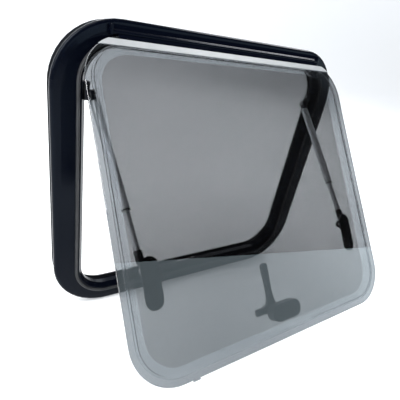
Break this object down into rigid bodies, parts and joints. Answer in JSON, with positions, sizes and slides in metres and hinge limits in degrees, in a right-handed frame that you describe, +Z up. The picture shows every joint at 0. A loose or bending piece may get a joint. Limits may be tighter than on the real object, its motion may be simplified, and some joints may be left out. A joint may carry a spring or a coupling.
{
  "type": "top-hung vehicle window",
  "caption": "Top-hung double acrylic window sash in a black rounded frame, held open on telescopic stays, with an inside turn latch.",
  "frame": {"origin": "centre of the wall cut-out, in the plane of the flange's back face, where it rests on the outside of the wall", "axes": "+X along the window, -Y out of the vehicle, +Z up"},
  "size_m": [0.54, 0.3177, 0.48],
  "materials": {
    "frame_black_gloss": "gloss moulded, navy-black",
    "clamp_ring_black": "satin moulded",
    "seal_rubber": "matt extruded",
    "rail_black": "black anodised, satin",
    "satin_aluminium": "satin, drawn lengthwise",
    "zinc_steel": "zinc plated",
    "smoked_acrylic": "clear polished acrylic with a light smoke tint",
    "fitting_black": "fine satin grain"
  },
  "bodies": {
    "frame": {"outer_frame": "frame_black_gloss", "wall_gasket": "seal_rubber", "sash_seal": "seal_rubber", "inner_clamp_ring": "clamp_ring_black", "clamp_screw_1": "zinc_steel", "clamp_screw_2": "zinc_steel", "clamp_screw_3": "zinc_steel", "clamp_screw_4": "zinc_steel", "clamp_screw_5": "zinc_steel", "clamp_screw_6": "zinc_steel", "clamp_screw_7": "zinc_steel", "clamp_screw_8": "zinc_steel", "hinge_rail": "rail_black", "hinge_end_cap_left": "fitting_black", "hinge_end_cap_right": "fitting_black", "stay_bracket_left": "fitting_black", "stay_bracket_right": "fitting_black", "bracket_screw_left": "zinc_steel", "bracket_screw_right": "zinc_steel", "latch_keeper": "zinc_steel", "keeper_screw_left": "zinc_steel", "keeper_screw_right": "zinc_steel"},
    "sash": {"hinge_profile": "rail_black", "hinge_trim_strip": "satin_aluminium", "outer_pane": "smoked_acrylic", "inner_pane": "smoked_acrylic", "latch_base": "fitting_black", "latch_pivot_screw": "zinc_steel", "stay_pad_left": "fitting_black", "stay_pad_right": "fitting_black", "stay_pin_left": "zinc_steel", "stay_pin_right": "zinc_steel"},
    "latch": {"latch_lever": "fitting_black"},
    "rod_left": {"stay_socket_left": "fitting_black", "stay_rod_left": "satin_aluminium"},
    "tube_left": {"stay_tube_left": "satin_aluminium", "stay_bush_left": "fitting_black", "stay_eye_left": "fitting_black", "stay_rivet_left": "zinc_steel"},
    "rod_right": {"stay_socket_right": "fitting_black", "stay_rod_right": "satin_aluminium"},
    "tube_right": {"stay_tube_right": "satin_aluminium", "stay_bush_right": "fitting_black", "stay_eye_right": "fitting_black", "stay_rivet_right": "zinc_steel"}
  },
  "joints": [
    {"name": "sash_hinge", "type": "hinge", "parent": "frame", "child": "sash", "pos_m": [0, -0.0145, 0.2237], "axis": [-1, 0, 0], "range_deg": [-37.5, 0]},
    {"name": "latch_turn", "type": "hinge", "parent": "sash", "child": "latch", "pos_m": [0, -0.26135, -0.098], "axis": [0, -0.7934, 0.6088], "range_deg": [0, 90]},
    {"name": "stay_turn_left", "type": "hinge", "parent": "sash", "child": "rod_left", "pos_m": [-0.199, -0.182, -0.03032], "axis": [-0.9986, -0.0394, -0.036], "range_deg": [-10.82, 0]},
    {"name": "stay_slide_left", "type": "slide", "parent": "rod_left", "child": "tube_left", "axis": [-0.0534, 0.7374, 0.6734], "range_m": [-0.03271, 0]},
    {"name": "stay_turn_right", "type": "hinge", "parent": "sash", "child": "rod_right", "pos_m": [0.199, -0.182, -0.03032], "axis": [-0.9986, 0.0394, 0.036], "range_deg": [-10.82, 0]},
    {"name": "stay_slide_right", "type": "slide", "parent": "rod_right", "child": "tube_right", "axis": [0.0534, 0.7374, 0.6734], "range_m": [-0.03271, 0]}
  ],
  "couplings": [
    {"joint": "stay_turn_left", "follows": "sash_hinge", "ratio": 0.28835},
    {"joint": "stay_slide_left", "follows": "sash_hinge", "m_per_rad": 0.049968},
    {"joint": "stay_turn_right", "follows": "sash_hinge", "ratio": 0.28835},
    {"joint": "stay_slide_right", "follows": "sash_hinge", "m_per_rad": 0.049968}
  ]
}
